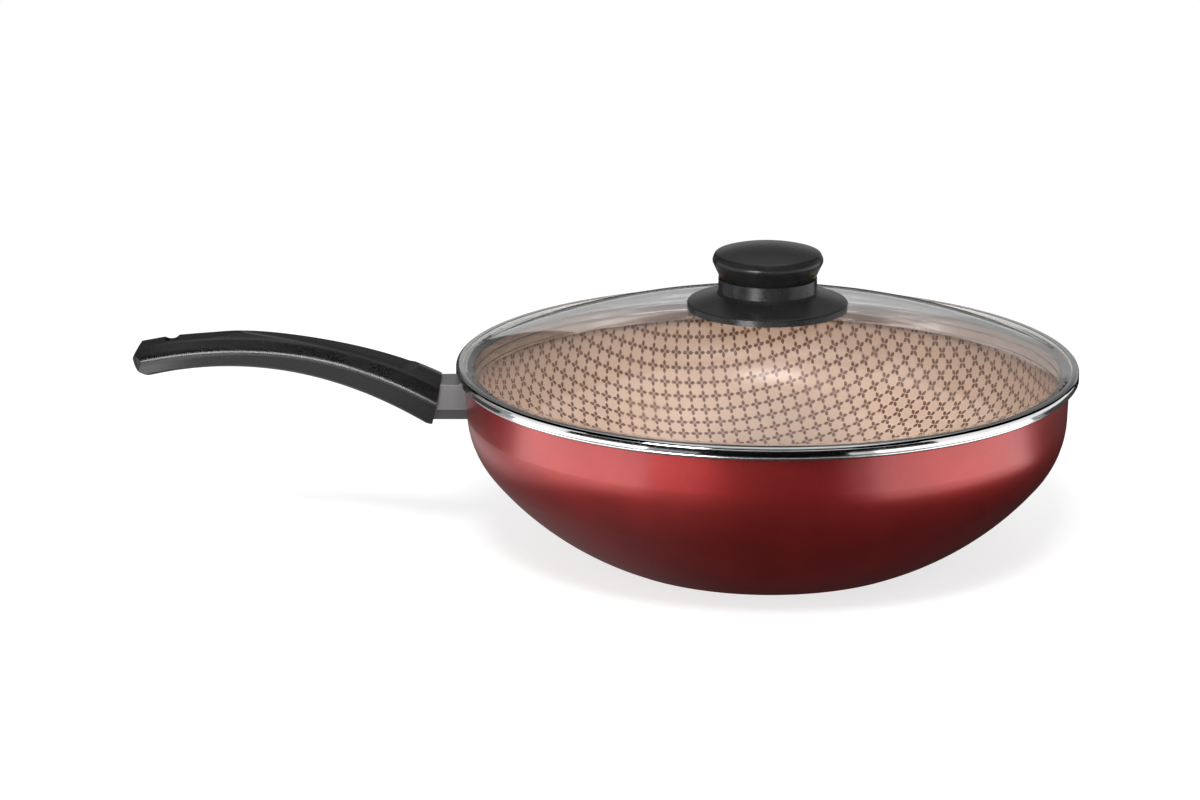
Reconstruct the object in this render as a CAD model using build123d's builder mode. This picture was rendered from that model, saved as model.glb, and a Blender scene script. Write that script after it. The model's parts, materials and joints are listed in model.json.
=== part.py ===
from build123d import *
from math import asin, cos, degrees, radians, sin, sqrt, tan
import os

# Stovetop wok with one long handle and a lift-off domed glass lid.
# Millimetres. Origin: centre of the flat base. +Z up, handle along -X.

# ---- pan: a pressed bowl of even thickness --------------------------------------
pan_height = 84.0           # base to the top of the lip
mouth_radius = 137.5        # outer face of the wall, just under the lip
wall = 2.2                  # sheet thickness
wall_draft = 1.6            # degrees, upper wall
shoulder_radius = 41.3      # bend from the upper wall into the bowl
shoulder_turn = 37.4        # degrees
bowl_radius = 138.5         # long curve of the bowl
bowl_turn = 27.1            # degrees
base_radius = 13.6          # bend from the bowl into the flat base
lip_reach = 2.5             # how far the lip stands out past the wall
lip_thickness = 2.0
lip_round = 0.9             # rounded outer edge of the lip
lip_root = 0.8              # fillet under the lip
mouth_round = 1.4           # rounded inner edge of the mouth
groove_count = 6            # turned rings under the base
groove_pitch = 8.0
groove_first = 22.0         # radius of the smallest ring
groove_width = 1.6
groove_depth = 0.35

# ---- lid: domed glass in a crimped steel band ------------------------------------
band_overhang = 1.75        # band's edge beyond the pan's lip
band_height = 4.4
band_sheet = 0.4
band_round = 1.5            # rounded top outer edge
band_foot_round = 0.35
band_crimp = 3.2            # how far the band folds in over the glass
seal_thickness = 0.6
seal_bevel = 0.4            # bevel inside the seal's upper corner, clear of the glass's round
skirt_gap = 1.9             # play between the skirt and the mouth
skirt_depth = 9.0
skirt_sheet = 0.5
skirt_bead = 0.8            # pressed stiffening bead, radius
skirt_bead_drop = 3.9       # lip plane down to the bead's middle
skirt_hem_height = 1.3
skirt_hem = 0.45            # extra thickness at the folded lower edge
skirt_hem_round = 0.4
glass_thickness = 2.4
glass_rise = 27.1           # from the edge land up to the crown
glass_land = 4.6            # flat edge that sits in the band
glass_bend = 9.0            # fillet between the land and the dome
glass_edge_round = 1.0
glass_hole = 4.6            # radius of the hole for the knob screw
vent_distance = 55.0        # steam vent behind the knob
vent_hole = 3.4             # hole radius in the glass
vent_sheet = 0.7
vent_play = 0.05
vent_flange = 5.2           # eyelet flange radius

# ---- knob -----------------------------------------------------------------------
knob_screw_radius = 2.5
screw_play = 0.1
gasket_thickness = 1.0
gasket_radius = 11.0
sleeve_play = 0.2           # between the lower gasket's sleeve and the hole in the glass
washer_radius = 9.0
washer_thickness = 1.2
washer_round = 0.3
screw_head_radius = 4.8
screw_head_height = 3.0
screw_head_round = 1.0      # both screws
flange_radius = 36.5        # heat guard disc of the knob
flange_edge = 3.0           # height of its rim
flange_drop = 2.1           # rim hangs below the boss's seat
flange_cone = 4.0           # rise of its conical top
flange_round = 0.8
neck_radius = 22.4
neck_height = 7.3
neck_foot = 0.7             # small flare at the foot of the neck
knob_wall = 2.6
rim_wall = 1.8              # thickness of the guard disc at its rim
base_round = 1.3            # fillets in the hollow underside
knob_rim = 2.4              # width of the rim under the guard disc
boss_radius = 8.5
rib_count = 6
rib_thickness = 1.8
head_plug = 0.8             # how deep the head sits in the neck
head_play = 0.2
head_foot_radius = 21.7
head_radius = 25.4
head_waist_height = 8.0     # neck's top up to the widest line
head_edge_height = 3.3      # widest line up to the top edge
head_top_radius = 24.0
head_crown = 3.8            # rise of the domed top
head_round = 3.0            # rounding at the widest line
head_edge_round = 2.0
knob_screw_length = 25.0
insert_radius = 4.2
insert_length = 9.0
insert_sunk = 0.5           # insert's end above the head's underside

# ---- bracket riveted to the pan ----------------------------------------------------
bracket_drop = 4.4          # pan's top down to the bracket's flat top
bracket_reach = 13.1        # pan's outer wall to the grip, at the bracket's middle
bracket_width = 19.4
bracket_height = 17.9
bracket_bevel = 6.0         # bevelled lower edges, height
bracket_bevel_width = 5.4
bracket_wall = 2.2
saddle_thickness = 3.4      # end wall against the pan
bracket_round = 0.5
tang_width = 12.0
tang_thickness = 4.0
tang_length = 30.0          # beyond the grip's front face
tang_round = 3.0            # corners of its end
rivet_radius = 2.0
rivet_spacing = 8.8
rivet_drop = 13.5           # lip plane down to the rivets
rivet_head_radius = 3.6
rivet_head_height = 1.4
rivet_tail_radius = 2.7
rivet_tail_height = 1.6
rivet_round = 0.9

# ---- moulded grip: places along it are distances behind its front face --------------
grip_face_lean = 11.4       # degrees
grip_bend = 194.0           # radius of the grip's long arch
grip_crest = 93.8           # where the arch is highest
grip_rise = 14.6            # bracket's top up to the arch's crest
grip_tip = 138.0
grip_tip_width = 23.0
grip_tip_height = 17.2
grip_tip_shoulder = 13.0    # width of the section's top, between its upper corners
grip_tail = 109.4
grip_tail_width = 22.8
grip_tail_height = 16.0
grip_tail_shoulder = 13.0
grip_waist = 71.4
grip_waist_width = 20.4
grip_waist_height = 17.0
grip_waist_shoulder = 14.4
grip_throat = 37.4
grip_throat_width = 23.6
grip_throat_height = 19.8
grip_throat_shoulder = 18.8
grip_front = -4.6           # past the face, which trims it
grip_front_width = 31.0
grip_front_height = 23.6
grip_front_shoulder = 24.6
shoulder_rise = 0.70        # upper corners, share of the half height
ridge_rise = 0.08           # widest line of the side
keel_width = 0.56           # lower corners, share of the width
keel_drop = 0.84
shoulder_round = 1.8
ridge_round = 4.0
keel_round = 3.5
tip_corner = 8.0            # rounded corners of the tip, seen from above
tip_chamfer = 5.0
tip_chin = 10.0             # rounded lower corner of the tip
thumb_round = 20.0          # thumb rest: a long scoop, round across
thumb_start = 90.0
thumb_start_up = 8.2        # its floor above the arch's centre line
thumb_middle = 52.0
thumb_middle_up = 5.2
thumb_end = 20.0
thumb_end_up = 5.8
thumb_ramp = 31.0           # degrees, slope that ends it
rest_start = 87.0           # long flat on top of the tail
rest_start_up = 8.4
rest_deep = 101.4
rest_up = 6.5
hang_hole_radius = 3.2
hang_hole_back = 119.9
hang_lean = 38.0            # degrees, slanted lead-in on the tip side of the hole
grip_under = 0.9            # the grip's flat underside below the bracket's
socket_play = 0.2           # between the tang and its socket
socket_end = 1.0            # room past the tang's end
grip_screw_back = 17.0
grip_screw_radius = 2.0
grip_screw_head = 3.8
grip_screw_head_height = 2.8
grip_screw_seat = 4.6       # grip material under the tang
counterbore_play = 0.4
spring_washer = 1.0
washer_split = 0.8
recess_width = 0.9          # arms of the screws' cross recesses
recess_depth = 1.4

# ---- worked out from the sizes above --------------------------------------------
turn_one = radians(wall_draft)
turn_two = radians(wall_draft + shoulder_turn)
turn_three = radians(wall_draft + shoulder_turn + bowl_turn)
shoulder_drop = shoulder_radius * (sin(turn_two) - sin(turn_one))
bowl_drop = bowl_radius * (sin(turn_three) - sin(turn_two))
base_drop = base_radius * (1 - sin(turn_three))
wall_foot = pan_height - lip_thickness - shoulder_drop - bowl_drop - base_drop
wall_run = wall_foot / cos(turn_one)
lip_radius = mouth_radius + lip_reach
mouth_inner = mouth_radius - wall
band_radius = lip_radius + band_overhang
bracket_top = pan_height - bracket_drop
grip_face_x = -mouth_radius - bracket_reach
grip_crest_x = grip_face_x - grip_crest
grip_crest_z = bracket_top + grip_rise

os.makedirs("parts", exist_ok=True)


def save(builder, name):
    builder.part.label = name
    export_step(builder.part, f"parts/{name}.step")


def bowl_section(inset, top):
    """Half section of the bowl's body, drawn inward from its outer face."""
    down = (-sin(turn_one), -cos(turn_one))
    mouth = (mouth_radius - inset * cos(turn_one), pan_height - lip_thickness + inset * sin(turn_one))
    with BuildSketch(Plane.XZ) as section:
        with BuildLine():
            start = (mouth[0] + (top - mouth[1]) * tan(turn_one), top)
            upper = Line(start, (mouth[0] + down[0] * wall_run, mouth[1] + down[1] * wall_run))
            shoulder = JernArc(upper @ 1, down, shoulder_radius - inset, -shoulder_turn)
            bowl = JernArc(shoulder @ 1, shoulder % 1, bowl_radius - inset, -bowl_turn)
            rest = 90 - degrees(turn_three)
            foot = JernArc(bowl @ 1, bowl % 1, base_radius - inset, -rest)
            Polyline(foot @ 1, (0, (foot @ 1).Y), (0, top), start)
        make_face()
    return section.sketch


def wall_radius(height, inset):
    """Radius of the upper wall at a height, inset from its outer face."""
    return mouth_radius - inset / cos(turn_one) - (pan_height - lip_thickness - height) * tan(turn_one)


def corner(sketch, radius, height):
    """The corner of a half section that lies nearest to a radius and height."""
    return sketch.vertices().sort_by_distance((radius, height))[0]


# ==== pan body ======================================================================
groove_radii = [groove_first + n * groove_pitch for n in range(groove_count)]
lip_under = pan_height - lip_thickness
rivet_height = pan_height - rivet_drop
rivet_places = [(-rivet_spacing / 2, rivet_height), (rivet_spacing / 2, rivet_height)]


def rivet_circles(distance, radius):
    """A circle for each rivet, on the plane that far along -X."""
    with BuildSketch(Plane.YZ.offset(-distance)) as circles:
        with Locations(rivet_places):
            Circle(radius)
    return circles.sketch


with BuildPart() as pan_body:
    with BuildSketch(Plane.XZ) as pan_section:
        add(bowl_section(0, pan_height - lip_thickness / 2))
        with Locations((mouth_inner, lip_under)):
            Rectangle(wall + lip_reach, lip_thickness, align=(Align.MIN, Align.MIN))
        add(bowl_section(wall, pan_height + lip_thickness), mode=Mode.SUBTRACT)
        fillet(pan_section.vertices().group_by(Axis.X)[-1], lip_round)
        fillet(corner(pan_section, mouth_radius, lip_under), lip_root)
        fillet(corner(pan_section, mouth_inner, pan_height), mouth_round)
        with Locations([(radius, 0) for radius in groove_radii]):
            Rectangle(groove_width, groove_depth, align=(Align.CENTER, Align.MIN), mode=Mode.SUBTRACT)
    revolve(axis=Axis.Z)
    extrude(rivet_circles(lip_radius, rivet_radius), amount=lip_radius / 2, mode=Mode.SUBTRACT)
save(pan_body, "pan_body")

# ==== handle bracket: hollow aluminium casting with a tang for the grip ==============
saddle_face = wall_radius(rivet_height, 0) + saddle_thickness
bracket_bottom = bracket_top - bracket_height
bracket_middle = bracket_top - bracket_height / 2
lean = radians(grip_face_lean)
grip_face = Plane(
    origin=(grip_face_x, 0, bracket_middle), x_dir=(0, 1, 0), z_dir=(cos(lean), 0, -sin(lean))
)
tang_end = grip_face_x - tang_length
tang_bottom = bracket_top - tang_thickness
grip_screw_x = grip_face_x - grip_screw_back


def bracket_outline(distance, inset):
    """Section of the bracket's box, bevelled below, inset from its faces, that far along -X."""
    half = bracket_width / 2
    with BuildSketch(Plane.YZ.offset(-distance)) as outline:
        with BuildLine():
            Polyline(
                (half, bracket_top),
                (half, bracket_bottom + bracket_bevel),
                (half - bracket_bevel_width, bracket_bottom),
                (bracket_bevel_width - half, bracket_bottom),
                (-half, bracket_bottom + bracket_bevel),
                (-half, bracket_top),
                close=True,
            )
        make_face()
        if inset:
            offset(amount=-inset, kind=Kind.INTERSECTION)
        else:
            fillet(outline.vertices(), bracket_round)
    return outline.sketch


with BuildPart() as handle_bracket:
    extrude(bracket_outline(0, 0), amount=grip_face_x - bracket_height)
    extrude(bracket_outline(saddle_face, bracket_wall), amount=-2 * bracket_height, mode=Mode.SUBTRACT)
    split(bisect_by=grip_face, keep=Keep.TOP)
    with BuildSketch(Plane.XY.offset(tang_bottom)):
        with Locations((tang_end, 0)):
            Rectangle(-saddle_face - tang_end, tang_width, align=(Align.MIN, Align.CENTER))
    extrude(amount=tang_thickness)
    fillet(handle_bracket.edges().filter_by(Axis.Z).group_by(Axis.X)[0], tang_round)
    revolve(bowl_section(0, pan_height), axis=Axis.Z, mode=Mode.SUBTRACT)
    extrude(rivet_circles(lip_radius, rivet_radius), amount=bracket_height / 2, both=True, mode=Mode.SUBTRACT)
    with BuildSketch(Plane.XY.offset(tang_bottom)):
        with Locations((grip_screw_x, 0)):
            Circle(grip_screw_radius)
    extrude(amount=tang_thickness, mode=Mode.SUBTRACT)
save(handle_bracket, "handle_bracket")

# ==== two rivets through the pan's wall and the bracket's saddle ======================
rivet_seat = wall_radius(rivet_height, wall)

with BuildPart() as bracket_rivets:
    extrude(rivet_circles(rivet_seat - rivet_head_height, rivet_head_radius), amount=-2 * rivet_head_height)
    fillet(bracket_rivets.edges().group_by(Axis.X)[-1], rivet_round)
    extrude(rivet_circles(saddle_face, rivet_tail_radius), amount=-rivet_tail_height)
    fillet(bracket_rivets.edges().group_by(Axis.X)[0], rivet_round)
    add(pan_body.part, mode=Mode.SUBTRACT)
    extrude(rivet_circles(rivet_seat, rivet_radius), amount=rivet_seat - saddle_face)
save(bracket_rivets, "bracket_rivets")

# ==== moulded grip ====================================================================
def arch_angle(back):
    """Slope of the grip's arch, a distance behind the front face."""
    return asin((grip_crest - back) / grip_bend)


def on_arch(back, up):
    """Point of the grip's side view, a height above the arched centre line."""
    angle = arch_angle(back)
    reach = grip_bend + up
    return (grip_crest_x + reach * sin(angle), grip_crest_z - grip_bend + reach * cos(angle))


def across_arch(back):
    """Plane square to the arched centre line, its normal towards the pan."""
    angle = arch_angle(back)
    middle = on_arch(back, 0)
    return Plane(
        origin=(middle[0], 0, middle[1]), x_dir=(0, 1, 0), z_dir=(cos(angle), 0, -sin(angle))
    )


def grip_section(back, width, height, shoulder):
    """Closed section: crowned top and keel, straight flanks that meet in a soft ridge."""
    half = width / 2
    up = height / 2
    with BuildSketch(across_arch(back)) as section:
        with BuildLine():
            crown_end = (shoulder / 2, shoulder_rise * up)
            keel_end = (keel_width * half, -keel_drop * up)
            crown = ThreePointArc((-crown_end[0], crown_end[1]), (0, up), crown_end)
            keel = ThreePointArc((-keel_end[0], keel_end[1]), (0, -up), keel_end)
            Polyline(crown @ 1, (half, ridge_rise * up), keel @ 1)
            Polyline(crown @ 0, (-half, ridge_rise * up), keel @ 0)
        make_face()
        fillet(section.vertices().group_by(Axis.Y)[-1], shoulder_round)
        fillet(section.vertices().group_by(Axis.X)[0] + section.vertices().group_by(Axis.X)[-1], ridge_round)
        fillet(section.vertices().group_by(Axis.Y)[0], keel_round)
    return section.sketch


grip_sections = [
    grip_section(grip_tip, grip_tip_width, grip_tip_height, grip_tip_shoulder),
    grip_section(grip_tail, grip_tail_width, grip_tail_height, grip_tail_shoulder),
    grip_section(grip_waist, grip_waist_width, grip_waist_height, grip_waist_shoulder),
    grip_section(grip_throat, grip_throat_width, grip_throat_height, grip_throat_shoulder),
    grip_section(grip_front, grip_front_width, grip_front_height, grip_front_shoulder),
]
hang_plane = across_arch(hang_hole_back)
hang_axis_plane = Plane(origin=hang_plane.origin, x_dir=(0, 1, 0), z_dir=hang_plane.y_dir)
hang_lead_plane = hang_axis_plane.rotated((-hang_lean, 0, 0))
tip_plane = across_arch(grip_tip)
tip_side = Plane(origin=tip_plane.origin, x_dir=tip_plane.z_dir, z_dir=(0, -1, 0))
tip_plan = Plane(origin=tip_plane.origin, x_dir=tip_plane.z_dir, z_dir=tip_plane.y_dir)
screw_seat = tang_bottom - grip_screw_seat


def corner_waste(plane, place, turn, radius):
    """What a rounded corner of that radius leaves outside it, for a corner at a place."""
    with BuildSketch(plane) as waste:
        with Locations(Location(place, turn)):
            Rectangle(2 * radius, 2 * radius)
            with Locations((radius, radius)):
                Circle(radius, mode=Mode.SUBTRACT)
                Rectangle(radius, radius, align=(Align.MIN, Align.MAX), mode=Mode.SUBTRACT)
    return waste.sketch


# The scoop's floor is an arc in the side view, and the waste above it is round across it.
with BuildLine(Plane.XZ) as thumb_floor:
    ThreePointArc(
        on_arch(thumb_start, thumb_start_up),
        on_arch(thumb_middle, thumb_middle_up),
        on_arch(thumb_end, thumb_end_up),
    )
floor_centre = thumb_floor.edge().arc_center
floor_radius = thumb_floor.edge().radius
ramp_angle = arch_angle(thumb_end) - radians(thumb_ramp)
ramp_foot = on_arch(thumb_end, thumb_end_up)
ramp_plane = Plane(
    origin=(ramp_foot[0], 0, ramp_foot[1]), x_dir=(0, 1, 0), z_dir=(sin(ramp_angle), 0, cos(ramp_angle))
)

with BuildPart() as thumb_waste:
    with BuildSketch(Plane.YZ.offset(floor_centre.X)):
        with Locations((0, floor_centre.Z + floor_radius + thumb_round)):
            Circle(thumb_round)
    revolve(axis=Axis(floor_centre, (0, 1, 0)))
    split(bisect_by=ramp_plane, keep=Keep.TOP)

with BuildPart() as handle_grip:
    loft(grip_sections)
    split(bisect_by=grip_face, keep=Keep.BOTTOM)
    add(thumb_waste.part, mode=Mode.SUBTRACT)
    with BuildSketch(Plane.XZ):
        with BuildLine():
            Polyline(
                on_arch(rest_start, rest_start_up),
                on_arch(rest_deep, rest_up),
                on_arch(hang_hole_back, rest_up),
                on_arch(grip_tip + tip_chamfer, rest_up),
                on_arch(grip_tip + tip_chamfer, grip_tip_height),
                on_arch(rest_start, grip_tip_height),
                close=True,
            )
        make_face()
    extrude(amount=grip_tip_width, both=True, mode=Mode.SUBTRACT)
    split(bisect_by=Plane.XY.offset(bracket_bottom - grip_under), keep=Keep.TOP)
    half_height = grip_tip_height / 2
    half_width = grip_tip_width / 2
    extrude(
        corner_waste(tip_side, (0, -half_height), 0, tip_chin),
        amount=grip_tip_width,
        both=True,
        mode=Mode.SUBTRACT,
    )
    with BuildSketch(tip_side):
        with Locations(Location((0, rest_up), 45)):
            Rectangle(2 * half_height, tip_chamfer * sqrt(2))
    extrude(amount=grip_tip_width, both=True, mode=Mode.SUBTRACT)
    for side, turn in ((-half_width, 0), (half_width, -90)):
        extrude(
            corner_waste(tip_plan, (0, side), turn, tip_corner),
            amount=grip_tip_height,
            both=True,
            mode=Mode.SUBTRACT,
        )
    with BuildSketch(hang_axis_plane):
        Circle(hang_hole_radius)
    extrude(amount=grip_tip_height, both=True, mode=Mode.SUBTRACT)
    with BuildSketch(hang_lead_plane):
        Circle(hang_hole_radius)
    extrude(amount=grip_tip_height, mode=Mode.SUBTRACT)
    with BuildSketch(Plane.XY.offset(tang_bottom - socket_play)):
        with Locations((tang_end - socket_end, 0)):
            Rectangle(
                tang_length + socket_end + grip_front_height,
                tang_width + 2 * socket_play,
                align=(Align.MIN, Align.CENTER),
            )
    extrude(amount=tang_thickness + 2 * socket_play, mode=Mode.SUBTRACT)
    with BuildSketch(Plane.XY.offset(tang_bottom)):
        with Locations((grip_screw_x, 0)):
            Circle(grip_screw_radius + screw_play)
    extrude(amount=-2 * grip_screw_seat, mode=Mode.SUBTRACT)
    with BuildSketch(Plane.XY.offset(screw_seat)):
        with Locations((grip_screw_x, 0)):
            Circle(grip_screw_head + counterbore_play)
    extrude(amount=-grip_front_height, mode=Mode.SUBTRACT)
save(handle_grip, "handle_grip")

# ==== screw and spring washer that hold the grip on the tang ==========================
washer_foot = screw_seat - spring_washer

with BuildPart() as handle_screw_washer:
    with BuildSketch(Plane.XY.offset(washer_foot)):
        with Locations((grip_screw_x, 0)):
            Circle(grip_screw_head)
            Circle(grip_screw_radius + screw_play, mode=Mode.SUBTRACT)
            with Locations((-grip_screw_head, 0)):
                Rectangle(grip_screw_head, washer_split, mode=Mode.SUBTRACT)
    extrude(amount=spring_washer)
save(handle_screw_washer, "handle_screw_washer")


def cross_recess(place, height, reach):
    """Cross for a screwdriver, on a plane facing down at a height."""
    with BuildSketch(Plane.XY.offset(height)) as cross:
        with Locations(place):
            Rectangle(2 * reach, recess_width)
            Rectangle(recess_width, 2 * reach)
    return cross.sketch


with BuildPart() as handle_screw:
    with BuildSketch(Plane.XY.offset(washer_foot - grip_screw_head_height)):
        with Locations((grip_screw_x, 0)):
            Circle(grip_screw_head)
    extrude(amount=grip_screw_head_height)
    fillet(handle_screw.edges().group_by(Axis.Z)[0], screw_head_round)
    with BuildSketch(Plane.XY.offset(washer_foot)):
        with Locations((grip_screw_x, 0)):
            Circle(grip_screw_radius)
    extrude(amount=bracket_top - washer_foot)
    extrude(
        cross_recess((grip_screw_x, 0), washer_foot - grip_screw_head_height, grip_screw_head / 2),
        amount=recess_depth,
        mode=Mode.SUBTRACT,
    )
save(handle_screw, "handle_screw")

# ==== lid glass =======================================================================
land_bottom = pan_height + band_sheet + seal_thickness
land_top = land_bottom + glass_thickness
glass_edge = band_radius - band_sheet - seal_thickness
land_inner = glass_edge - glass_land
crown = land_top + glass_rise
dome_radius = (land_inner**2 + glass_rise**2) / (2 * glass_rise)
dome_centre = crown - dome_radius
under_radius = dome_radius - glass_thickness
under_edge = sqrt(under_radius**2 - (land_bottom - dome_centre) ** 2)
under_crown = crown - glass_thickness
vent_tilt = asin(vent_distance / dome_radius)
vent_plane = Plane(
    origin=(0, vent_distance, dome_centre + dome_radius * cos(vent_tilt)),
    x_dir=(1, 0, 0),
    z_dir=(0, sin(vent_tilt), cos(vent_tilt)),
)


def dome_height(radius, sphere):
    """Height of a dome's face at a distance from the axis."""
    return dome_centre + sqrt(sphere**2 - radius**2)


with BuildPart() as lid_glass:
    with BuildSketch(Plane.XZ) as glass_section:
        with BuildLine():
            hole_top = (glass_hole, dome_height(glass_hole, dome_radius))
            hole_foot = (glass_hole, dome_height(glass_hole, under_radius))
            middle = land_inner / 2
            ThreePointArc(hole_top, (middle, dome_height(middle, dome_radius)), (land_inner, land_top))
            Polyline(
                (land_inner, land_top),
                (glass_edge, land_top),
                (glass_edge, land_bottom),
                (under_edge, land_bottom),
            )
            ThreePointArc((under_edge, land_bottom), (middle, dome_height(middle, under_radius)), hole_foot)
            Line(hole_foot, hole_top)
        make_face()
        fillet(corner(glass_section, land_inner, land_top), glass_bend)
        fillet(corner(glass_section, under_edge, land_bottom), glass_bend + glass_thickness)
        fillet(glass_section.vertices().group_by(Axis.X)[-1], glass_edge_round)
    revolve(axis=Axis.Z)
    with BuildSketch(vent_plane):
        Circle(vent_hole)
    extrude(amount=2 * glass_thickness, both=True, mode=Mode.SUBTRACT)
save(lid_glass, "lid_glass")

# ==== steel eyelet of the steam vent ==================================================
with BuildPart() as lid_vent_eyelet:
    with BuildSketch(vent_plane):
        Circle(vent_flange)
    extrude(amount=vent_sheet)
    fillet(lid_vent_eyelet.edges().group_by(Axis.Z)[-1], vent_sheet / 2)
    with BuildSketch(vent_plane):
        Circle(vent_hole - vent_play)
    extrude(amount=-glass_thickness - vent_play)
    with BuildSketch(vent_plane.offset(-glass_thickness - vent_play)):
        Circle(vent_flange)
    extrude(amount=-vent_sheet)
    with BuildSketch(vent_plane):
        Circle(vent_hole - vent_play - vent_sheet)
    extrude(amount=2 * glass_thickness, both=True, mode=Mode.SUBTRACT)
save(lid_vent_eyelet, "lid_vent_eyelet")

# ==== rim band and its seal ===========================================================
cavity_edge = band_radius - band_sheet
cavity_top = pan_height + band_height - band_sheet
skirt_outer = mouth_inner - skirt_gap
skirt_inner = skirt_outer - skirt_sheet
skirt_foot = pan_height - skirt_depth


def band_cavity():
    """Half section of the groove that holds the glass edge."""
    with BuildSketch(Plane.XZ) as cavity:
        with Locations((cavity_edge, pan_height + band_sheet)):
            Rectangle(
                band_crimp - band_sheet, band_height - 2 * band_sheet, align=(Align.MAX, Align.MIN)
            )
        fillet(corner(cavity, cavity_edge, cavity_top), band_round - band_sheet)
    return cavity.sketch


with BuildPart() as lid_rim_band:
    with BuildSketch(Plane.XZ) as band_section:
        with Locations((band_radius, pan_height)):
            Rectangle(band_crimp, band_height, align=(Align.MAX, Align.MIN))
            Rectangle(band_radius - skirt_inner, band_sheet, align=(Align.MAX, Align.MIN))
        with Locations((skirt_inner, pan_height + band_sheet)):
            Rectangle(skirt_sheet, skirt_depth + band_sheet, align=(Align.MIN, Align.MAX))
        fillet(corner(band_section, band_radius, pan_height + band_height), band_round)
        fillet(corner(band_section, band_radius, pan_height), band_foot_round)
        fillet(corner(band_section, skirt_inner, pan_height + band_sheet), band_sheet * 2)
        fillet(corner(band_section, skirt_outer, pan_height), band_sheet)
        with Locations((skirt_outer, skirt_foot)):
            Rectangle(skirt_sheet + skirt_hem, skirt_hem_height, align=(Align.MAX, Align.MIN))
        fillet(band_section.vertices().group_by(Axis.Y)[0], skirt_hem_round)
        with Locations((skirt_outer - skirt_sheet / 2, pan_height - skirt_bead_drop)):
            Circle(skirt_bead)
        add(band_cavity(), mode=Mode.SUBTRACT)
    revolve(axis=Axis.Z)
save(lid_rim_band, "lid_rim_band")

with BuildPart() as lid_rim_seal:
    with BuildSketch(Plane.XZ) as seal_section:
        with Locations((cavity_edge, pan_height + band_sheet)):
            Rectangle(
                band_crimp - band_sheet, band_height - 2 * band_sheet, align=(Align.MAX, Align.MIN)
            )
        with Locations((glass_edge, land_bottom)):
            Rectangle(glass_land, glass_thickness, align=(Align.MAX, Align.MIN), mode=Mode.SUBTRACT)
        chamfer(corner(seal_section, cavity_edge, cavity_top), band_round - band_sheet)
        chamfer(corner(seal_section, glass_edge, land_top), seal_bevel)
    revolve(axis=Axis.Z)
save(lid_rim_seal, "lid_rim_seal")

# ==== knob: guard disc with a neck, and the head that plugs into it ===================
boss_seat = crown + gasket_thickness
rim_bottom = boss_seat - flange_drop
rim_top = rim_bottom + flange_edge
cone_top = rim_top + flange_cone
neck_top = cone_top + neck_height
plug_seat = neck_top - head_plug
ceiling = plug_seat - knob_wall
neck_inner = neck_radius - knob_wall
rim_inner = flange_radius - knob_rim
cone_under = cone_top - knob_wall
rim_under = rim_top - rim_wall
screw_bore = knob_screw_radius + screw_play

with BuildPart() as knob_rib:
    with BuildSketch(Plane.XZ):
        with BuildLine():
            Polyline(
                (boss_radius - rib_thickness / 2, boss_seat),
                (neck_inner, boss_seat),
                (rim_inner, rim_under),
                (neck_inner, cone_under),
                (neck_inner, ceiling),
                (boss_radius - rib_thickness / 2, ceiling),
                close=True,
            )
        make_face()
    extrude(amount=rib_thickness / 2, both=True)

with BuildPart() as knob_base:
    with BuildSketch(Plane.XZ) as base_section:
        with BuildLine():
            Polyline(
                (screw_bore, boss_seat),
                (boss_radius, boss_seat),
                (boss_radius, ceiling),
                (neck_inner, ceiling),
                (neck_inner, cone_under),
                (rim_inner, rim_under),
                (rim_inner, rim_bottom),
                (flange_radius, rim_bottom),
                (flange_radius, rim_top),
                (neck_radius + neck_foot, cone_top),
                (neck_radius, cone_top + 2 * neck_foot),
                (neck_radius, neck_top),
                (head_foot_radius + head_play, neck_top),
                (head_foot_radius + head_play, plug_seat),
                (screw_bore, plug_seat),
                close=True,
            )
        make_face()
        fillet(corner(base_section, flange_radius, rim_top), flange_round)
        fillet(corner(base_section, neck_radius, cone_top + 2 * neck_foot), neck_foot)
        fillet(corner(base_section, neck_inner, ceiling), base_round)
        fillet(corner(base_section, boss_radius, ceiling), base_round)
    revolve(axis=Axis.Z)
    with PolarLocations(0, rib_count):
        add(knob_rib.part)
save(knob_base, "knob_base")

insert_foot = plug_seat + insert_sunk
with BuildPart() as knob_head:
    with BuildSketch(Plane.XZ) as head_section:
        with BuildLine():
            waist = neck_top + head_waist_height
            top_edge = waist + head_edge_height
            dome = (head_top_radius**2 + head_crown**2) / (2 * head_crown)
            Polyline(
                (0, top_edge + head_crown),
                (0, plug_seat),
                (head_foot_radius, plug_seat),
                (head_foot_radius, neck_top),
                (head_radius, waist),
                (head_top_radius, top_edge),
            )
            RadiusArc((head_top_radius, top_edge), (0, top_edge + head_crown), -dome)
        make_face()
        fillet(corner(head_section, head_radius, waist), head_round)
        fillet(corner(head_section, head_top_radius, top_edge), head_edge_round)
    revolve(axis=Axis.Z)
    with BuildSketch(Plane.XY.offset(plug_seat)):
        Circle(insert_radius)
    extrude(amount=insert_sunk + insert_length, mode=Mode.SUBTRACT)
save(knob_head, "knob_head")

with BuildPart() as knob_insert:
    with BuildSketch(Plane.XY.offset(insert_foot)):
        Circle(insert_radius)
        Circle(knob_screw_radius, mode=Mode.SUBTRACT)
    extrude(amount=insert_length)
save(knob_insert, "knob_insert")

# ==== gaskets, washer and screw that clamp the glass ==================================
def dome_arc(start, end, sphere):
    """Arc of a dome's half section between two distances from the axis."""
    middle = (start + end) / 2
    return ThreePointArc(
        (start, dome_height(start, sphere)),
        (middle, dome_height(middle, sphere)),
        (end, dome_height(end, sphere)),
    )


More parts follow.
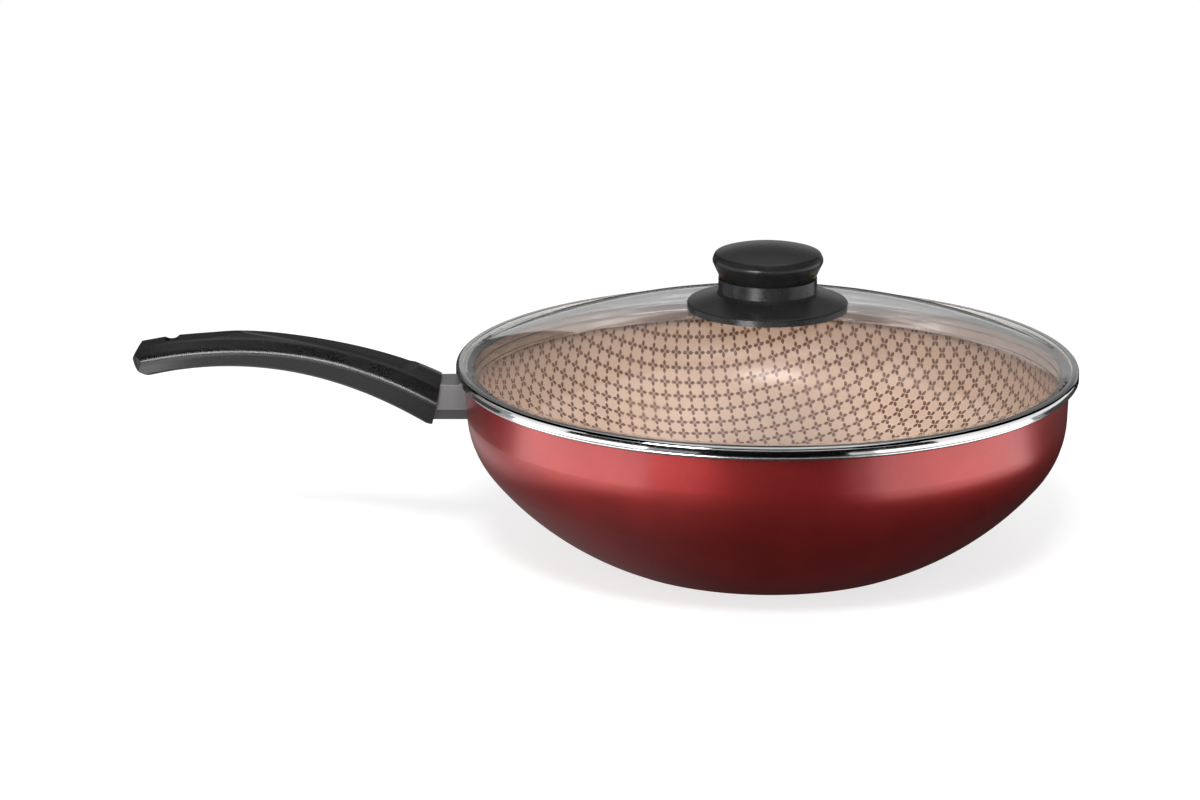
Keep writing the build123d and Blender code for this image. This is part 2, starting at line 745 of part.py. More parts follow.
with BuildPart() as knob_gasket_upper:
    with BuildSketch(Plane.XZ):
        with BuildLine():
            foot = dome_arc(glass_hole, gasket_radius, dome_radius)
            Polyline(foot @ 1, (gasket_radius, boss_seat), (glass_hole, boss_seat), foot @ 0)
        make_face()
    revolve(axis=Axis.Z)
save(knob_gasket_upper, "knob_gasket_upper")

gasket_foot = under_crown - gasket_thickness
sleeve_radius = glass_hole - sleeve_play
with BuildPart() as knob_gasket_lower:
    with BuildSketch(Plane.XZ):
        with BuildLine():
            top = dome_arc(sleeve_radius, gasket_radius, under_radius)
            Polyline(
                top @ 1,
                (gasket_radius, gasket_foot),
                (screw_bore, gasket_foot),
                (screw_bore, crown),
                (sleeve_radius, crown),
                top @ 0,
            )
        make_face()
    revolve(axis=Axis.Z)
save(knob_gasket_lower, "knob_gasket_lower")

washer_under = gasket_foot - washer_thickness
with BuildPart() as knob_washer:
    with BuildSketch(Plane.XY.offset(washer_under)):
        Circle(washer_radius)
        Circle(screw_bore, mode=Mode.SUBTRACT)
    extrude(amount=washer_thickness)
    fillet(knob_washer.faces().sort_by(Axis.Z)[0].outer_wire().edges(), washer_round)
save(knob_washer, "knob_washer")

with BuildPart() as knob_screw:
    with BuildSketch(Plane.XY.offset(washer_under - screw_head_height)):
        Circle(screw_head_radius)
    extrude(amount=screw_head_height)
    fillet(knob_screw.edges().group_by(Axis.Z)[0], screw_head_round)
    with BuildSketch(Plane.XY.offset(washer_under)):
        Circle(knob_screw_radius)
    extrude(amount=knob_screw_length)
    extrude(
        cross_recess((0, 0), washer_under - screw_head_height, screw_head_radius / 2),
        amount=recess_depth,
        mode=Mode.SUBTRACT,
    )
save(knob_screw, "knob_screw")
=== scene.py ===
import json
from math import cos, radians, sin, sqrt, tan

import bpy
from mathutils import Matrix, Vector


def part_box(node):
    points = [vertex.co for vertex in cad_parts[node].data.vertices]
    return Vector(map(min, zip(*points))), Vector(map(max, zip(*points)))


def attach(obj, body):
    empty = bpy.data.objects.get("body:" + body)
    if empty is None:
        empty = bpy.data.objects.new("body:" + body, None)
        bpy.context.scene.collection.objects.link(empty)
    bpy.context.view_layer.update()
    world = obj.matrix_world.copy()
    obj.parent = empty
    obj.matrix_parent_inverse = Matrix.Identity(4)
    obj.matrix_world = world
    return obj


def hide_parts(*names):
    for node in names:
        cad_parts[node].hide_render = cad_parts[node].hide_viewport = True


# Red stovetop wok with a domed glass lid, on a white studio floor. Metres, +Z up, handle along -X.

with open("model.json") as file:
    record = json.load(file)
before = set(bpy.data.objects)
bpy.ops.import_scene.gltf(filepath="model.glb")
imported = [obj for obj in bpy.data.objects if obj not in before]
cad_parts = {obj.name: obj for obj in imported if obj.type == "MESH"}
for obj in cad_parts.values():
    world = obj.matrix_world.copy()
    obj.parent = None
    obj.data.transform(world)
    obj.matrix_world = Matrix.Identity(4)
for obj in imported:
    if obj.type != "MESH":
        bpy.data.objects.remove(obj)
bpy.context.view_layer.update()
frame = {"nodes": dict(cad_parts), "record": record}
nodes = frame["nodes"]
MM = 0.001

# ==== sizes of the pressed bowl, which the coatings follow ============================
pan_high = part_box("pan_body")[1]
PAN_TOP = pan_high.z
LIP_HEIGHT = 2.0 * MM           # bare turned edge at the top of the pan
LIP_REACH = 4.7 * MM            # from the wall's inner face to the lip's outer edge
WALL = 2.2 * MM                 # sheet
WALL_DRAFT = 1.6                # degrees from upright, upper wall
BOWL_BENDS = ((39.1 * MM, 37.4), (136.3 * MM, 27.1))    # inner radius and turn, from the top down
FOOT_BEND = 11.4 * MM
BEND_STEPS = 6
MOUTH_INNER = pan_high.x - LIP_REACH
AXIS_CLEAR = 0.1 * MM           # keeps divisions by the radius finite


# ==== helpers for node materials ======================================================
class Graph:
    """A material's node tree, with short calls to add and join nodes."""

    def __init__(self, name):
        self.material = bpy.data.materials.new(name)
        self.material.use_nodes = True
        self.tree = self.material.node_tree
        self.tree.nodes.clear()
        self.output = self.tree.nodes.new("ShaderNodeOutputMaterial")

    def node(self, kind, inputs=None, **settings):
        made = self.tree.nodes.new("ShaderNode" + kind)
        for name, value in settings.items():
            setattr(made, name, value)
        for name, value in (inputs or {}).items():
            self.put(made.inputs[name], value)
        return made

    def put(self, socket, value):
        if isinstance(value, bpy.types.NodeSocket):
            self.tree.links.new(value, socket)
        elif isinstance(value, tuple) and len(value) == 3 and socket.type == "RGBA":
            socket.default_value = (*value, 1.0)
        else:
            socket.default_value = value

    def math(self, operation, *values, clamp=False):
        made = self.tree.nodes.new("ShaderNodeMath")
        made.operation = operation
        made.use_clamp = clamp
        for socket, value in zip(made.inputs, values):
            self.put(socket, value)
        return made.outputs[0]

    def between(self, value, low, high, out_low=0.0, out_high=1.0, smooth=True):
        """Value mapped from low..high to out_low..out_high, and clamped."""
        made = self.node("MapRange", interpolation_type="SMOOTHSTEP" if smooth else "LINEAR")
        for socket, given in zip(made.inputs, (value, low, high, out_low, out_high)):
            self.put(socket, given)
        return made.outputs[0]

    def blend(self, factor, first, second):
        made = self.node("Mix", data_type="RGBA")
        self.put(made.inputs["Factor"], factor)
        self.put(made.inputs["A"], first)
        self.put(made.inputs["B"], second)
        return made.outputs["Result"]

    def lerp(self, factor, first, second):
        made = self.node("Mix", {"Factor": factor, "A": first, "B": second}, data_type="FLOAT")
        return made.outputs["Result"]

    def point(self):
        """Mesh coordinates, which ride with the body: the row frame at rest, in metres."""
        return self.node("TexCoord").outputs["Object"]

    def noise(self, point, scale, detail=3.0, roughness=0.5):
        made = self.node(
            "TexNoise", {"Vector": point, "Scale": scale, "Detail": detail, "Roughness": roughness}
        )
        return made.outputs["Fac"]

    def bump(self, height, distance, strength=1.0):
        made = self.node("Bump", {"Height": height, "Distance": distance, "Strength": strength})
        return made.outputs["Normal"]

    def principled(self, inputs):
        shader = self.node("BsdfPrincipled", inputs)
        return self.finish(shader.outputs[0])

    def finish(self, shader):
        self.tree.links.new(shader, self.output.inputs["Surface"])
        return self.material


# ==== the printed trellis, pressed into shape with the sheet ==========================
MOTIF_PITCH = 6.8 * MM
PETAL_START = 0.20 * MM         # from the middle of the cross
PETAL_END = 3.10 * MM
PETAL_HALF_WIDTH = 0.90 * MM
PETAL_SOFT = 0.07 * MM          # blur of the print's edge
LATTICE_TURN = radians(10.5)


def bowl_profile():
    """Points (radius, height) of the inner face, from the mouth down to the axis."""
    turned = sum(turn for _, turn in BOWL_BENDS)
    bends = (*BOWL_BENDS, (FOOT_BEND, 90 - WALL_DRAFT - turned))
    angle = radians(WALL_DRAFT)
    wall_drop = PAN_TOP - LIP_HEIGHT - WALL
    for bend, turn in bends:
        wall_drop -= bend * (sin(angle + radians(turn)) - sin(angle))
        angle += radians(turn)
    angle = radians(WALL_DRAFT)
    radius = MOUTH_INNER
    height = PAN_TOP - LIP_HEIGHT
    points = [(radius, height)]
    radius -= wall_drop * tan(angle)
    height -= wall_drop
    points.append((radius, height))
    for bend, turn in bends:
        for _ in range(BEND_STEPS):
            after = angle + radians(turn) / BEND_STEPS
            radius -= bend * (cos(angle) - cos(after))
            height -= bend * (sin(after) - sin(angle))
            angle = after
            points.append((radius, height))
    points.append((0.0, height))
    return points


def printed_radius():
    """For each profile point: radius + height, and the radius that it had in the flat sheet."""
    points = bowl_profile()[::-1]
    area = 0.0
    table = [(points[0][0] + points[0][1], 0.0)]
    for (r1, z1), (r2, z2) in zip(points, points[1:]):
        # The sheet keeps its thickness, so it keeps its area.
        area += (r1 + r2) / 2 * sqrt((r2 - r1) ** 2 + (z2 - z1) ** 2)
        table.append((r2 + z2, sqrt(2 * area)))
    return table


def trellis(graph, x, y, z, radius):
    """Mask of a plain four-petal trellis: 1 inside the petals."""
    table = printed_radius()
    reach, flat = table[-1]
    curve = graph.node("FloatCurve")
    line = curve.mapping.curves[0]
    for place, value in table[1:-1]:
        line.points.new(place / reach, value / flat)
    line.points[0].location = (table[0][0] / reach, 0.0)
    line.points[len(line.points) - 1].location = (1.0, 1.0)
    for knot in line.points:
        knot.handle_type = "VECTOR"
    curve.mapping.update()
    along = graph.math("DIVIDE", graph.math("ADD", radius, z), reach)
    graph.put(curve.inputs["Value"], along)
    stretch = graph.math("DIVIDE", graph.math("MULTIPLY", curve.outputs[0], flat), radius)
    flat_x = graph.math("MULTIPLY", x, stretch)
    flat_y = graph.math("MULTIPLY", y, stretch)
    turn_cos = cos(LATTICE_TURN)
    turn_sin = sin(LATTICE_TURN)
    first = graph.math(
        "ADD", graph.math("MULTIPLY", flat_x, turn_cos), graph.math("MULTIPLY", flat_y, turn_sin)
    )
    second = graph.math(
        "SUBTRACT", graph.math("MULTIPLY", flat_y, turn_cos), graph.math("MULTIPLY", flat_x, turn_sin)
    )
    cell = []
    for value in (first, second):
        share = graph.math("FRACT", graph.math("DIVIDE", value, MOTIF_PITCH))
        off = graph.math("ABSOLUTE", graph.math("SUBTRACT", share, 0.5))
        cell.append(graph.math("MULTIPLY", off, MOTIF_PITCH))
    petals = []
    for run, side in (cell, cell[::-1]):
        step = graph.between(run, PETAL_START, PETAL_END, -1.0, 1.0, smooth=False)
        bulge = graph.math("SUBTRACT", 1.0, graph.math("MULTIPLY", step, step))
        petals.append(graph.math("SUBTRACT", graph.math("MULTIPLY", bulge, PETAL_HALF_WIDTH), side))
    nearest = graph.math("MAXIMUM", *petals)
    return graph.between(nearest, -PETAL_SOFT / 2, PETAL_SOFT)


# ==== finishes ========================================================================
RED = (0.37, 0.018, 0.016)
RED_DEEP = (0.31, 0.014, 0.013)
FLAKE = (0.75, 0.13, 0.11)
LACQUER_EDGE = (0.55, 0.10, 0.09)
BEIGE = (0.415, 0.295, 0.220)
BEIGE_SHADE = (0.385, 0.272, 0.202)
PRINT_BROWN = (0.075, 0.027, 0.010)
BARE = (0.80, 0.80, 0.80)


def pan_finish():
    """Red metallic lacquer outside, printed beige coating inside, bare lip."""
    graph = Graph("enamelled_aluminium")
    point = graph.point()
    x, y, z = graph.node("SeparateXYZ", {0: point}).outputs
    squared = graph.math("ADD", graph.math("MULTIPLY", x, x), graph.math("MULTIPLY", y, y))
    radius = graph.math("MAXIMUM", graph.math("SQRT", squared), AXIS_CLEAR)
    normal_x, normal_y, normal_z = graph.node(
        "SeparateXYZ", {0: graph.node("NewGeometry").outputs["True Normal"]}
    ).outputs
    # Inside or outside: the outward part of the normal tells which face of the sheet this is.
    dot = graph.math("ADD", graph.math("MULTIPLY", normal_x, x), graph.math("MULTIPLY", normal_y, y))
    outward = graph.math("SUBTRACT", dot, graph.math("MULTIPLY", normal_z, 0.03))
    inside = graph.between(outward, 0.0005, -0.0005, smooth=False)
    on_lip = graph.between(z, PAN_TOP - LIP_HEIGHT - 0.2 * MM, PAN_TOP - LIP_HEIGHT + 0.1 * MM)
    mottle = graph.noise(point, 38.0, 4.0)
    flake = graph.noise(point, 5200.0, 2.0)
    red = graph.blend(graph.between(mottle, 0.3, 0.7), RED_DEEP, RED)
    red = graph.blend(graph.between(flake, 0.55, 0.8, 0.0, 0.3), red, FLAKE)
    coat = graph.blend(graph.between(mottle, 0.35, 0.65), BEIGE, BEIGE_SHADE)
    print_mask = trellis(graph, x, y, z, radius)
    worn = graph.between(graph.noise(point, 900.0, 2.0), 0.25, 0.6, 0.8, 1.0)
    beige = graph.blend(graph.math("MULTIPLY", print_mask, worn), coat, PRINT_BROWN)
    color = graph.blend(on_lip, graph.blend(inside, red, beige), BARE)
    rings = graph.node("CombineXYZ", {0: radius, 2: z}).outputs[0]
    turned = graph.noise(rings, 9000.0, 2.0)
    lacquer = graph.math("MULTIPLY", graph.math("SUBTRACT", 1.0, inside), 0.8)
    lacquer_rough = graph.between(flake, 0.3, 0.7, 0.33, 0.39)
    coating_rough = graph.between(mottle, 0.3, 0.7, 0.36, 0.42)
    rough = graph.lerp(inside, lacquer_rough, coating_rough)
    rough = graph.lerp(on_lip, rough, graph.between(turned, 0.3, 0.7, 0.14, 0.28))
    relief = graph.math("MULTIPLY", print_mask, 0.15)
    grain = graph.math("ADD", graph.math("MULTIPLY", flake, 0.4), relief)
    return graph.principled(
        {
            "Base Color": color,
            "Metallic": graph.math("MAXIMUM", lacquer, on_lip),
            "Roughness": rough,
            "Normal": graph.bump(grain, 0.02 * MM, 0.4),
            "Specular Tint": graph.blend(on_lip, LACQUER_EDGE, (1.0, 1.0, 1.0)),
            "Coat Weight": 0.8,
            "Coat IOR": 1.7,
            "Coat Roughness": 0.26,
        }
    )


def metal_finish(
    name, color, low, high, scale=2500.0, stretch=(1.0, 1.0, 1.0), depth=0.01, metallic=1.0
):
    """A bare metal with fine tool marks, drawn out along the axes with a small stretch."""
    graph = Graph(name)
    point = graph.point()
    drawn = graph.node("Mapping", {"Vector": point, "Scale": stretch}).outputs[0]
    marks = graph.noise(drawn, scale, 3.0)
    cloud = graph.noise(point, 60.0, 3.0)
    spread = graph.lerp(0.3, marks, cloud)
    return graph.principled(
        {
            "Base Color": graph.blend(
                graph.between(cloud, 0.3, 0.7), color, tuple(0.9 * part for part in color)
            ),
            "Metallic": metallic,
            "Roughness": graph.between(spread, 0.3, 0.7, low, high),
            "Normal": graph.bump(marks, depth * MM, 0.6),
        }
    )


def moulded_finish(name, color, low, high, grain=0.02):
    """Black moulded plastic with a fine leathery grain."""
    graph = Graph(name)
    point = graph.point()
    fine = graph.noise(point, 1900.0, 4.0, 0.6)
    cloud = graph.noise(point, 70.0, 4.0)
    spread = graph.lerp(0.5, fine, cloud)
    return graph.principled(
        {
            "Base Color": graph.blend(
                graph.between(cloud, 0.3, 0.7), color, tuple(1.35 * part for part in color)
            ),
            "Roughness": graph.between(spread, 0.35, 0.65, low, high),
            "Normal": graph.bump(fine, grain * MM, 0.6),
        }
    )


def glass_finish():
    """Tempered glass, clear for light, with faint smears in its polish."""
    graph = Graph("tempered_glass")
    smear = graph.noise(graph.point(), 45.0, 4.0)
    shader = graph.node(
        "BsdfPrincipled",
        {
            "Base Color": (0.97, 0.975, 0.97),
            "Roughness": graph.between(smear, 0.35, 0.75, 0.0, 0.03),
            "IOR": 1.5,
            "Transmission Weight": 1.0,
        },
    )
    through = graph.node("BsdfTransparent", {"Color": (0.92, 0.92, 0.92)})
    is_shadow = graph.node("LightPath").outputs["Is Shadow Ray"]
    mixed = graph.node("MixShader", {0: is_shadow, 1: shader.outputs[0], 2: through.outputs[0]})
    return graph.finish(mixed.outputs[0])


def soft_finish(name, color, low, high):
    """Silicone: a soft sheen with a dusty variation."""
    graph = Graph(name)
    cloud = graph.noise(graph.point(), 400.0, 4.0)
    return graph.principled(
        {
            "Base Color": graph.blend(cloud, color, tuple(0.8 * part for part in color)),
            "Roughness": graph.between(cloud, 0.3, 0.7, low, high),
            "Normal": graph.bump(cloud, 0.02 * MM, 0.4),
        }
    )


finishes = {
    "enamelled_aluminium": pan_finish(),
    "cast_aluminium": metal_finish(
        "cast_aluminium", (0.17, 0.166, 0.17), 0.30, 0.34, 2600.0, (0.3, 1, 1), 0.004, metallic=0.5
    ),
    "rivet_aluminium": metal_finish("rivet_aluminium", (0.75, 0.75, 0.75), 0.22, 0.34),
    "bakelite": moulded_finish("bakelite", (0.0035, 0.0035, 0.0038), 0.25, 0.32),
    # The knob's copy of the grip's bakelite, made lighter: painted light standing in for the knob's
    # lit sides.
    "bakelite_painted_lighter": moulded_finish("bakelite_painted_lighter", (0.009, 0.009, 0.0095), 0.26, 0.33),
    "zinc_steel": metal_finish("zinc_steel", (0.62, 0.63, 0.65), 0.25, 0.38),
    "stainless_band": metal_finish(
        "stainless_band", (0.74, 0.74, 0.74), 0.07, 0.11, 900.0, depth=0.0001
    ),
    "tempered_glass": glass_finish(),
    "silicone": soft_finish("silicone", (0.62, 0.62, 0.60), 0.4, 0.55),
    "black_silicone": soft_finish("black_silicone", (0.02, 0.02, 0.02), 0.5, 0.65),
    "brass": metal_finish("brass", (0.62, 0.42, 0.16), 0.2, 0.3),
}

for subpart in frame["record"]["subparts"]:
    piece = nodes[subpart["node"]]
    piece.data.materials.clear()
    slot = subpart["material_slot"]
    # The knob's pieces take the lighter copy of the bakelite: painted light on the knob, which is the
    # same plastic as the grip.
    if subpart["node"] in ("knob_head", "knob_base"):
        slot = "bakelite_painted_lighter"
    piece.data.materials.append(finishes[slot])

# ==== lid band: the same section, turned finely so that it mirrors without facets ======
BAND_OVERHANG = 1.75 * MM       # past the lip's outer edge
BAND_RADIUS = pan_high.x + BAND_OVERHANG
BAND_HEIGHT = 4.4 * MM
BAND_SHEET = 0.4 * MM
BAND_ROUND = 1.5 * MM
BAND_CRIMP = 3.2 * MM           # how far the band folds in over the glass
SKIRT_GAP = 1.9 * MM            # play in the mouth
SKIRT_OUTER = MOUTH_INNER - SKIRT_GAP
SKIRT_SHEET = 0.5 * MM
SKIRT_HEM = 0.45 * MM           # extra thickness at the folded lower edge
SKIRT_HEM_HEIGHT = 1.3 * MM
SKIRT_HEM_ROUND = 0.4 * MM
SKIRT_DEPTH = 9.0 * MM
SKIRT_BEAD = 0.8 * MM
SKIRT_BEAD_DROP = 3.9 * MM


def bend(centre, radius, start, end, count=8):
    """Points of an arc in the half section; degrees from outward, up positive."""
    angles = [radians(start + (end - start) * n / count) for n in range(count + 1)]
    return [(centre[0] + radius * cos(a), centre[1] + radius * sin(a)) for a in angles]


def turned_ring(name, section, segments=360):
    """Closed half section turned about the axis, shaded smooth with crisp corners."""
    size = len(section)
    points = []
    for n in range(segments):
        angle = radians(360.0 * n / segments)
        points += [(r * cos(angle), r * sin(angle), z) for r, z in section]
    faces = []
    for n in range(segments):
        here = n * size
        there = (n + 1) % segments * size
        for k in range(size):
            after = (k + 1) % size
            faces.append((here + after, there + after, there + k, here + k))
    mesh = bpy.data.meshes.new(name)
    mesh.from_pydata(points, [], faces)
    mesh.shade_smooth()
    mesh.set_sharp_from_angle(angle=radians(40))
    made = bpy.data.objects.new(name, mesh)
    bpy.context.scene.collection.objects.link(made)
    return made


def band_section():
    """Half section of the band: over the glass edge, round it, along the lip and down the skirt."""
    top = PAN_TOP + BAND_HEIGHT
    inner_top = top - BAND_SHEET
    floor_top = PAN_TOP + BAND_SHEET
    shoulder = BAND_RADIUS - BAND_ROUND
    skirt_inner = SKIRT_OUTER - SKIRT_SHEET
    skirt_foot = PAN_TOP - SKIRT_DEPTH
    skirt_middle = (SKIRT_OUTER + skirt_inner) / 2
    bead = PAN_TOP - SKIRT_BEAD_DROP
    hem_inner = skirt_inner - SKIRT_HEM
    hem_low = skirt_foot + SKIRT_HEM_ROUND
    hem_top = skirt_foot + SKIRT_HEM_HEIGHT
    corner = 2 * BAND_SHEET         # outer radius where the skirt turns into the band's floor
    crimp = BAND_ROUND - BAND_SHEET
    section = [(BAND_RADIUS - BAND_CRIMP, inner_top), (BAND_RADIUS - BAND_CRIMP, top)]
    section += bend((shoulder, top - BAND_ROUND), BAND_ROUND, 90, 0)
    section += bend((BAND_RADIUS - BAND_SHEET, floor_top), BAND_SHEET, 0, -90)
    section += bend((SKIRT_OUTER + BAND_SHEET, PAN_TOP - BAND_SHEET), BAND_SHEET, 90, 180)
    section += bend((skirt_middle, bead), SKIRT_BEAD, 72, -72)
    section += bend((SKIRT_OUTER - SKIRT_HEM_ROUND, hem_low), SKIRT_HEM_ROUND, 0, -90)
    section += bend((hem_inner + SKIRT_HEM_ROUND, hem_low), SKIRT_HEM_ROUND, -90, -180)
    section += [(hem_inner, hem_top), (skirt_inner, hem_top)]
    section += bend((skirt_middle, bead), SKIRT_BEAD, 252, 108)
    section += bend((skirt_inner + corner, floor_top - corner), corner, 180, 90)
    section += [(BAND_RADIUS - BAND_SHEET, floor_top)]
    section += bend((shoulder, inner_top - crimp), crimp, 0, 90)
    return section


band = turned_ring("rim_band_turned", band_section())
band.data.materials.append(finishes["stainless_band"])
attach(band, "lid")
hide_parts("lid_rim_band")

# ==== stage ===========================================================================
scene = bpy.context.scene
PLAIN_FROM = 0.30               # metres from the axis where the floor starts to turn plain white
PLAIN_FULL = 0.75


def floor_finish():
    """White paper that keeps the object's shadow and turns plain white away from it."""
    graph = Graph("floor_paper")
    point = graph.point()
    fibre = graph.noise(point, 300.0, 3.0)
    paper = graph.node(
        "BsdfPrincipled",
        {
            "Base Color": graph.blend(fibre, (0.31, 0.31, 0.31), (0.33, 0.33, 0.33)),
            "Roughness": 0.9,
            "Specular IOR Level": 0.0,
            "Emission Color": (1.0, 1.0, 1.0),
            "Emission Strength": 0.74,
        },
    )
    plain = graph.node("Emission", {"Color": (1.0, 1.0, 1.0), "Strength": 1.0})
    away = graph.node("VectorMath", {0: point}, operation="LENGTH").outputs["Value"]
    share = graph.between(away, PLAIN_FROM, PLAIN_FULL)
    mixed = graph.node("MixShader", {0: share, 1: paper.outputs[0], 2: plain.outputs[0]})
    return graph.finish(mixed.outputs[0])


FLOOR_SIZE = 30.0
FLOOR_DROP = 0.1 * MM           # keeps the floor clear of the flat base
bpy.ops.mesh.primitive_plane_add(size=FLOOR_SIZE, location=(0, 0, -FLOOR_DROP))
floor = bpy.context.object
floor.name = "floor"
floor.data.materials.append(floor_finish())

# Cards give the polished faces something dark or bright to mirror. The camera doesn't see them.
CARD_SIDE = 1.25                # metres from the axis to the open sides
CARD_BACK = 1.7
CARD_FRONT = -2.4
CARD_TOP = 2.3
CARD_LIFT = 0.5 * MM            # floor cards over the floor
NEAR_HOLE = 0.03                # under the base
NEAR_RING = 0.27                # the floor close round the bowl
NEAR_RIGHT = 0.25
MIDDLE_RING = 0.41              # as far as the upper wall mirrors; the band mirrors what lies beyond
BACK_LOW = 0.58                 # the back card's lower part, which the lid's crown mirrors
BACK_HIGH = 1.5
SIDE_LOW = 0.3
RAYS = ("camera", "diffuse", "glossy", "transmission", "volume_scatter", "shadow")


def card_finish(glow):
    graph = Graph(f"card_{glow}")
    cloth = graph.between(graph.noise(graph.point(), 40.0), 0.0, 1.0, 0.95, 1.0)
    strength = graph.math("MULTIPLY", cloth, glow)
    return graph.finish(graph.node("Emission", {"Strength": strength}).outputs[0])


def near_card_finish():
    """Dark close to the bowl, and brighter towards the handle's side."""
    graph = Graph("card_near")
    x = graph.node("SeparateXYZ", {0: graph.point()}).outputs[0]
    grey = graph.between(x, 0.0, -0.12, 0.03, 0.17)
    bright = graph.between(x, -0.16, -0.22, 0.0, 0.65)
    strength = graph.math("ADD", grey, bright)
    return graph.finish(graph.node("Emission", {"Strength": strength}).outputs[0])


card_finishes = {"near": near_card_finish()}


def card(name, corners, glow=0.0, rays=("glossy", "transmission")):
    """Card that only the named kinds of ray see: mirrored directly, or through the glass."""
    if glow not in card_finishes:
        card_finishes[glow] = card_finish(glow)
    mesh = bpy.data.meshes.new(name)
    mesh.from_pydata(corners, [], [tuple(range(len(corners)))])
    mesh.materials.append(card_finishes[glow])
    made = bpy.data.objects.new(name, mesh)
    scene.collection.objects.link(made)
    for ray in RAYS:
        setattr(made, "visible_" + ray, ray in rays)


def upright_card(name, start, end, foot=0.0, top=CARD_TOP, glow=0.0, **more):
    """Card standing between two places."""
    card(name, [(*start, foot), (*end, foot), (*end, top), (*start, top)], glow, **more)


def level_card(name, left, front, right, back, height, glow=0.0):
    """Card lying flat overhead."""
    corners = [(left, front), (right, front), (right, back), (left, back)]
    card(name, [(*corner, height) for corner in corners], glow)


def floor_card(name, first, last, near, far, glow=0.0, steps=24):
    """Sector of a ring on the floor; its azimuths are degrees from the front, right positive."""
    angles = [radians(first + (last - first) * n / steps) for n in range(steps + 1)]
    rim = [(far * sin(a), -far * cos(a), CARD_LIFT) for a in angles]
    hole = [(near * sin(a), -near * cos(a), CARD_LIFT) for a in reversed(angles)]
    card(name, rim + hole, glow, rays=("glossy",))


# Name, azimuths and radii from and to, glow.
for row in (
    ("near_left", -180, 30, NEAR_HOLE, NEAR_RING, "near"),
    ("near_right", 30, 92, NEAR_HOLE, NEAR_RIGHT, "near"),
    ("near_back", 92, 180, NEAR_HOLE, NEAR_RING, "near"),
    ("middle_front", -22, 22, NEAR_RING, MIDDLE_RING),
    ("middle_left_dim", -38, -22, NEAR_RING, MIDDLE_RING, 0.35),
    ("middle_left", -90, -38, NEAR_RING, MIDDLE_RING, 2.8),
    ("middle_left_fade", -98, -90, NEAR_RING, MIDDLE_RING, 0.45),
    ("middle_left_grey", -128, -98, NEAR_RING, MIDDLE_RING, 0.06),
    ("middle_right_dim", 22, 30, NEAR_RING, MIDDLE_RING, 0.8),
    ("middle_right", 30, 92, NEAR_RIGHT, MIDDLE_RING, 2.4),
    ("middle_right_fade", 92, 100, NEAR_RING, MIDDLE_RING, 0.35),
    ("middle_right_grey", 100, 132, NEAR_RING, MIDDLE_RING, 0.06),
    ("middle_back", 132, 232, NEAR_RING, MIDDLE_RING),
    ("far_front", -68, 52, MIDDLE_RING, 0.72),
    ("far_front_grey", -68, 52, 0.72, 2.2, 0.8),
    ("far_left_grey", -128, -94, MIDDLE_RING, 1.2, 0.35),
    ("far_back", 132, 232, MIDDLE_RING, 1.6),
):
    floor_card(*row)

# Name, x from and to, foot, top, glow.
for name, start, end, foot, top, glow in (
    ("back_low_left_card", -CARD_SIDE, -0.33, 0.0, BACK_LOW, 0.06),
    ("back_low_card", -0.33, 0.36, 0.0, BACK_LOW, 0.45),
    ("back_low_right_card", 0.36, CARD_SIDE, 0.0, BACK_LOW, 0.35),
    ("back_card", -CARD_SIDE, CARD_SIDE, BACK_LOW, BACK_HIGH, 0.15),
    ("back_high_card", -CARD_SIDE, CARD_SIDE, BACK_HIGH, CARD_TOP, 0.35),
):
    upright_card(name, (start, CARD_BACK), (end, CARD_BACK), foot, top, glow)
upright_card("front_card", (-CARD_SIDE, CARD_FRONT), (CARD_SIDE, CARD_FRONT), SIDE_LOW)

# Name, side, y from and to, foot.
for name, side, start, end, foot in (
    ("right_front_card", CARD_SIDE, CARD_FRONT, -1.0, 0.0),
    ("right_back_card", CARD_SIDE, 1.1, CARD_BACK, 0.0),
    ("left_front_card", -CARD_SIDE, CARD_FRONT, -0.55, 0.0),
    ("left_back_card", -CARD_SIDE, 0.95, CARD_BACK, 0.0),
    ("left_high_card", -CARD_SIDE, -0.55, 0.95, SIDE_LOW),
    ("right_high_card", CARD_SIDE, -1.0, 1.1, SIDE_LOW),
):
    upright_card(name, (side, start), (side, end), foot)

# A light line along the grip's ridge, and a soft window in the bowl's far wall.
upright_card("ridge_card", (-0.38, -0.45), (-0.17, -0.45), 0.05, 0.16, 20.0, rays=("glossy",))
upright_card("window_card", (-1.5, -1.5), (1.0, -1.5), 0.25, 0.75, 3.6, rays=("transmission",))
level_card("overhead_card", -0.9, -0.5, 0.9, 0.5, CARD_TOP - 0.05, 1.2)
level_card("top_card", -CARD_SIDE, CARD_FRONT, CARD_SIDE, CARD_BACK, CARD_TOP, 0.45)


def area_light(name, place, target, width, height, power):
    """Softbox for the matte light. What the polished faces mirror are the cards."""
    lamp = bpy.data.lights.new(name, "AREA")
    lamp.shape = "RECTANGLE"
    lamp.size = width
    lamp.size_y = height
    lamp.energy = power
    made = bpy.data.objects.new(name, lamp)
    scene.collection.objects.link(made)
    made.location = place
    made.rotation_euler = (Vector(target) - Vector(place)).to_track_quat("-Z", "Y").to_euler()
    made.visible_glossy = False


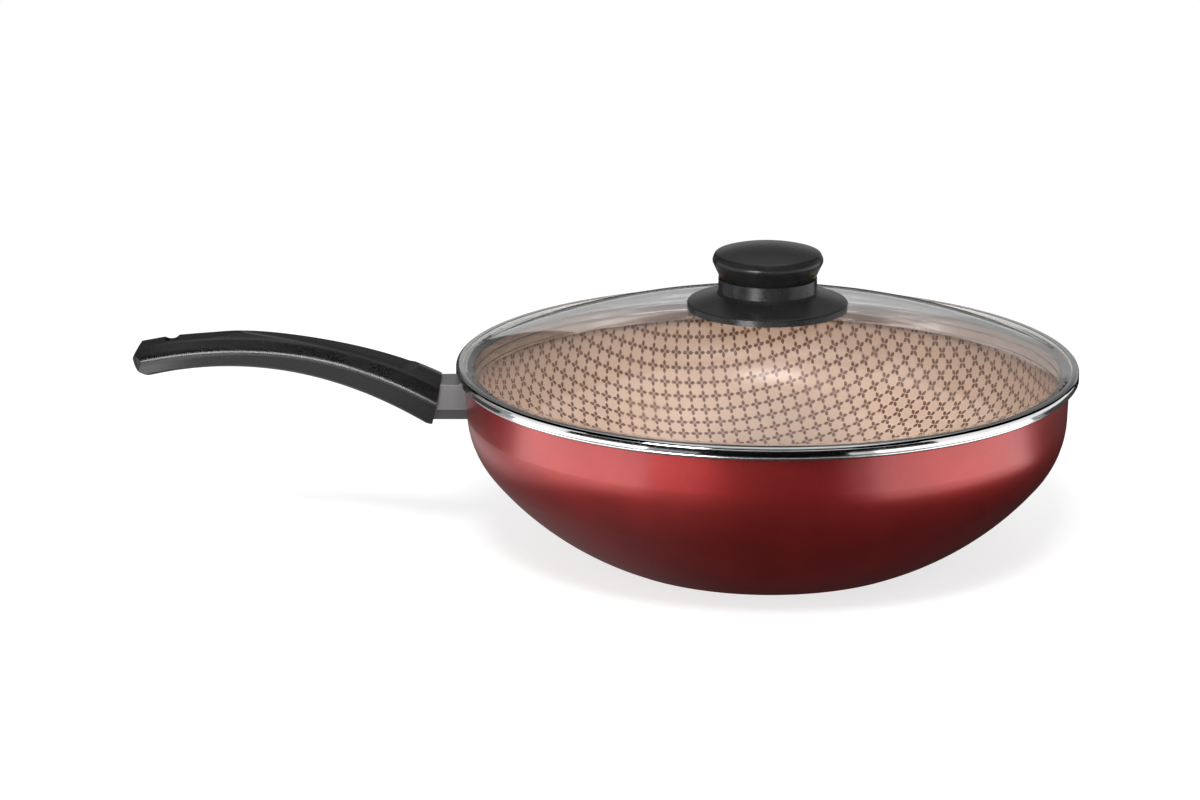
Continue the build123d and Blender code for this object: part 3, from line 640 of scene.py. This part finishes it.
area_light("key_softbox", (-0.15, -1.35, 1.65), (0.0, 0.0, 0.03), 0.6, 0.45, 40.0)
area_light("left_softbox", (-1.15, -0.50, 0.55), (0.0, 0.0, 0.06), 0.5, 0.9, 4.0)
area_light("right_softbox", (1.3, -0.7, 1.0), (0.0, 0.0, 0.06), 0.5, 0.9, 5.0)
area_light("top_softbox", (0.3, 0.1, 1.9), (0.0, 0.0, 0.0), 1.6, 1.2, 5.0)

WORLD_FILL = 0.45               # light that the world gives to matte faces
WORLD_SEEN = 1.0                # plain white where it is seen, mirrored or looked at through glass


def studio_world():
    world = bpy.data.worlds.new("studio")
    world.use_nodes = True
    tree = world.node_tree
    tree.nodes.clear()
    output = tree.nodes.new("ShaderNodeOutputWorld")
    background = tree.nodes.new("ShaderNodeBackground")
    background.inputs["Color"].default_value = (1, 1, 1, 1)
    path = tree.nodes.new("ShaderNodeLightPath")
    seen = path.outputs["Is Camera Ray"]
    for ray in ("Is Glossy Ray", "Is Transmission Ray"):
        either = tree.nodes.new("ShaderNodeMath")
        either.operation = "MAXIMUM"
        tree.links.new(seen, either.inputs[0])
        tree.links.new(path.outputs[ray], either.inputs[1])
        seen = either.outputs[0]
    strength = tree.nodes.new("ShaderNodeMapRange")
    strength.inputs["To Min"].default_value = WORLD_FILL
    strength.inputs["To Max"].default_value = WORLD_SEEN
    tree.links.new(seen, strength.inputs["Value"])
    tree.links.new(strength.outputs[0], background.inputs["Strength"])
    tree.links.new(background.outputs[0], output.inputs["Surface"])
    return world


scene.world = studio_world()

# ==== camera ==========================================================================
CAMERA_PLACE = (-0.0761, -1.7371, 0.5576)
CAMERA_DIP = 15.69              # degrees below the horizon
CAMERA_LENS = 118.26

camera_data = bpy.data.cameras.new("camera")
camera_data.sensor_width = 36.0
camera_data.lens = CAMERA_LENS
camera = bpy.data.objects.new("camera", camera_data)
scene.collection.objects.link(camera)
camera.location = CAMERA_PLACE
camera.rotation_euler = (radians(90 - CAMERA_DIP), 0.0, 0.0)
scene.camera = camera

scene.view_settings.view_transform = "Standard"
